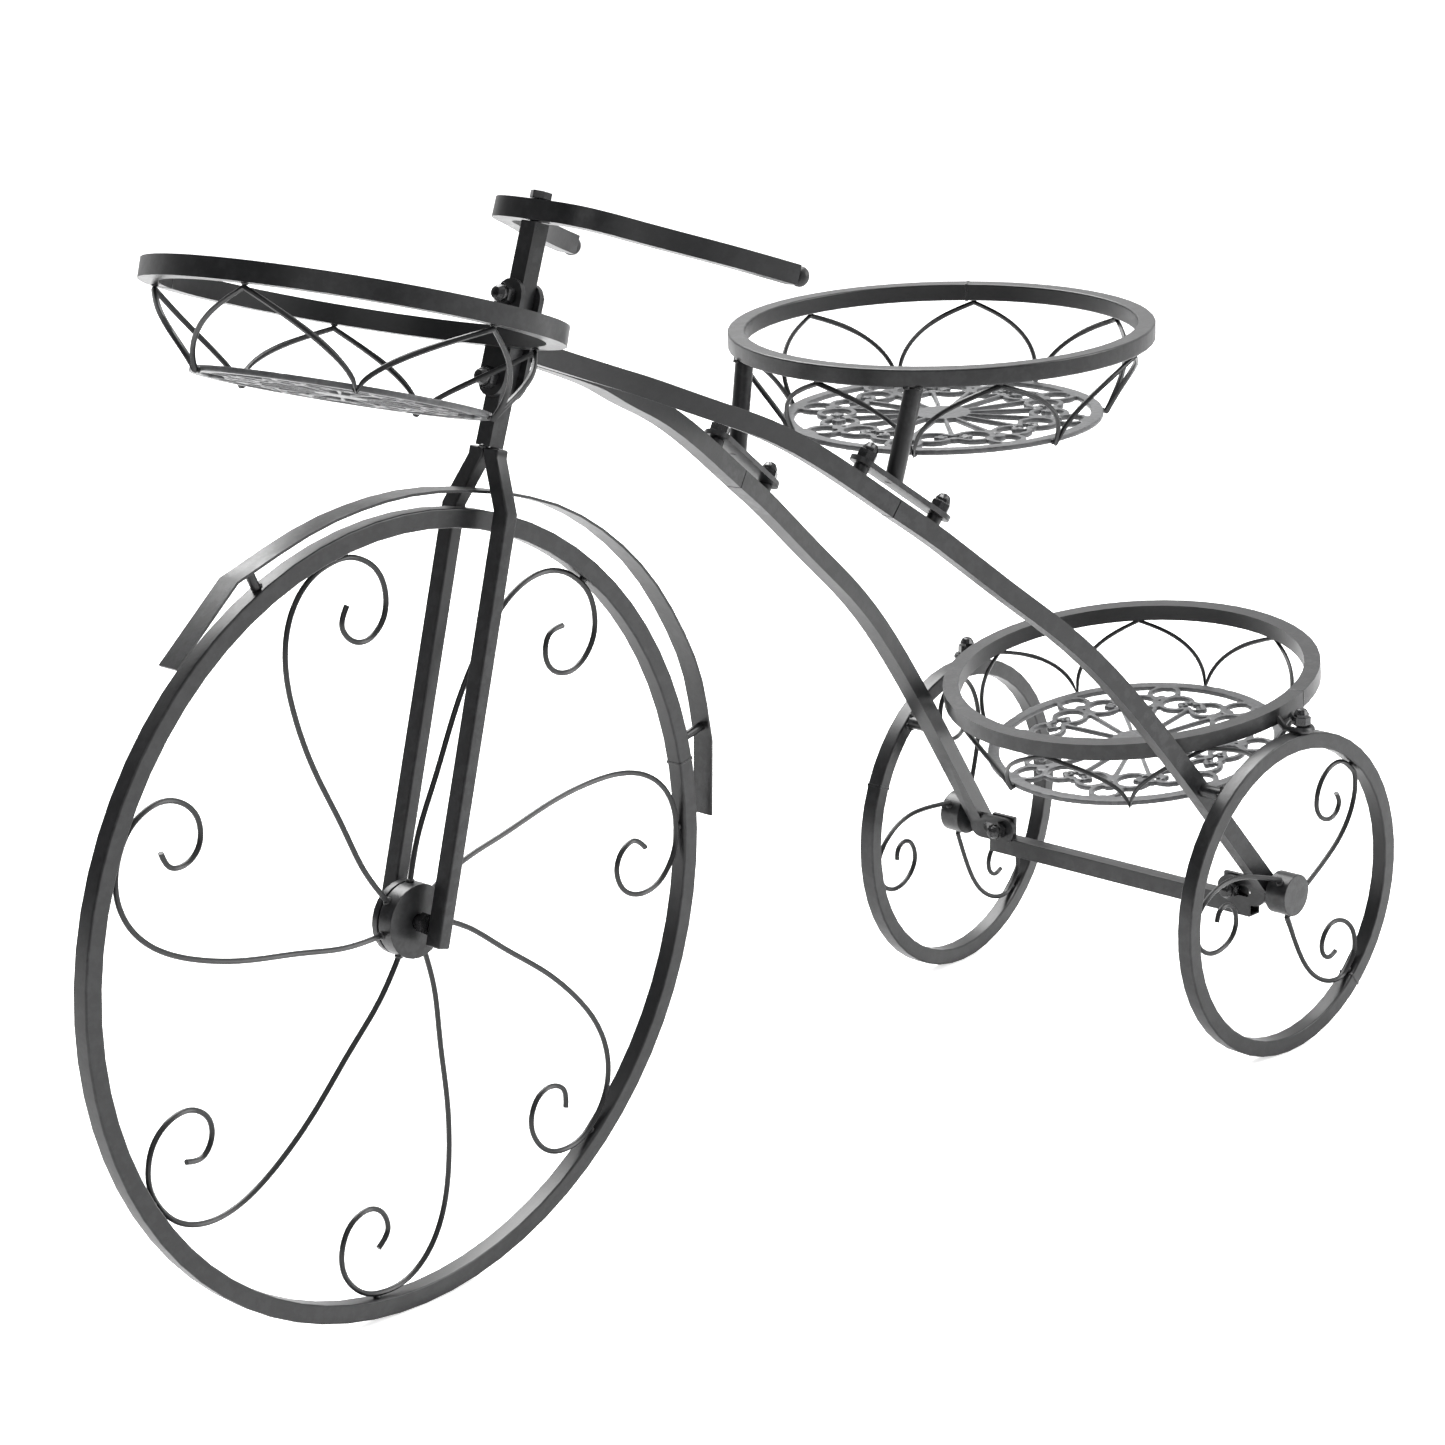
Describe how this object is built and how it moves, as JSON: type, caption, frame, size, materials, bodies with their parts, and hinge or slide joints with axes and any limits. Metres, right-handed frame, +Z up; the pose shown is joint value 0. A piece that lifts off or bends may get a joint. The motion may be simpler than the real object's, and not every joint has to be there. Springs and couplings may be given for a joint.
{
  "type": "tricycle plant stand",
  "caption": "Tricycle-shaped plant stand in black coated steel with scrolled wheels, a flat-bar fender, a bent handlebar and round pot baskets with pierced floors.",
  "frame": {"origin": "on the ground under the middle of the stand's overall box", "axes": "-X points to the front wheel, +X to the rear wheels, -Y to the rider's left, +Z up"},
  "size_m": [0.9364, 0.2762, 0.5682],
  "materials": {
    "frame_coat": "satin powder coat, dark charcoal",
    "basket_coat": "satin powder coat, dark charcoal",
    "floor_coat": "satin powder coat over a lightly hammered sheet",
    "fastener_black": "glossy black",
    "grip_black": "moulded black end plug"
  },
  "bodies": {
    "frame": {"clamp_bolt_lower": "fastener_black", "clamp_bolt_upper": "fastener_black", "clamp_nut_lower": "fastener_black", "clamp_nut_upper": "fastener_black", "cross_bar": "frame_coat", "cross_bolt_left": "fastener_black", "cross_bolt_right": "fastener_black", "cross_nut_left": "fastener_black", "cross_nut_right": "fastener_black", "ear_nut_left": "fastener_black", "ear_nut_right": "fastener_black", "foot_nut_left_back": "fastener_black", "foot_nut_left_front": "fastener_black", "foot_nut_right_back": "fastener_black", "foot_nut_right_front": "fastener_black", "fork_arm_left": "frame_coat", "fork_arm_right": "frame_coat", "front_arches": "basket_coat", "front_axle": "fastener_black", "front_floor": "floor_coat", "front_ring": "basket_coat", "handlebar_bolt": "fastener_black", "head_plate": "frame_coat", "leg_left": "frame_coat", "leg_right": "frame_coat", "rail_left": "frame_coat", "rail_right": "frame_coat", "rear_arches": "basket_coat", "rear_floor": "floor_coat", "rear_hub_left": "frame_coat", "rear_hub_right": "frame_coat", "rear_rim_left": "frame_coat", "rear_rim_right": "frame_coat", "rear_ring": "basket_coat", "rear_scroll_left_1": "frame_coat", "rear_scroll_left_2": "frame_coat", "rear_scroll_left_3": "frame_coat", "rear_scroll_right_1": "frame_coat", "rear_scroll_right_2": "frame_coat", "rear_scroll_right_3": "frame_coat", "seat_arches": "basket_coat", "seat_floor": "floor_coat", "seat_post_left": "frame_coat", "seat_post_right": "frame_coat", "seat_ring": "basket_coat", "stem": "frame_coat"},
    "front_wheel": {"front_fender": "frame_coat", "front_hub": "frame_coat", "front_rim": "frame_coat", "front_scroll_1": "frame_coat", "front_scroll_2": "frame_coat", "front_scroll_3": "frame_coat", "front_scroll_4": "frame_coat", "front_scroll_5": "frame_coat", "front_scroll_6": "frame_coat", "front_scroll_7": "frame_coat"},
    "handlebar": {"grip_left": "grip_black", "grip_right": "grip_black", "handlebar": "frame_coat"}
  },
  "joints": [
    {"name": "front_wheel_spin", "type": "hinge", "parent": "frame", "child": "front_wheel", "pos_m": [-0.2582, 0, 0.21], "axis": [0, 1, 0], "range_deg": [-15, 73]},
    {"name": "handlebar_swivel", "type": "hinge", "parent": "frame", "child": "handlebar", "pos_m": [-0.15883, 0, 0.55149], "axis": [0.3123, 0, 0.95], "range_deg": [-180, 180]}
  ]
}
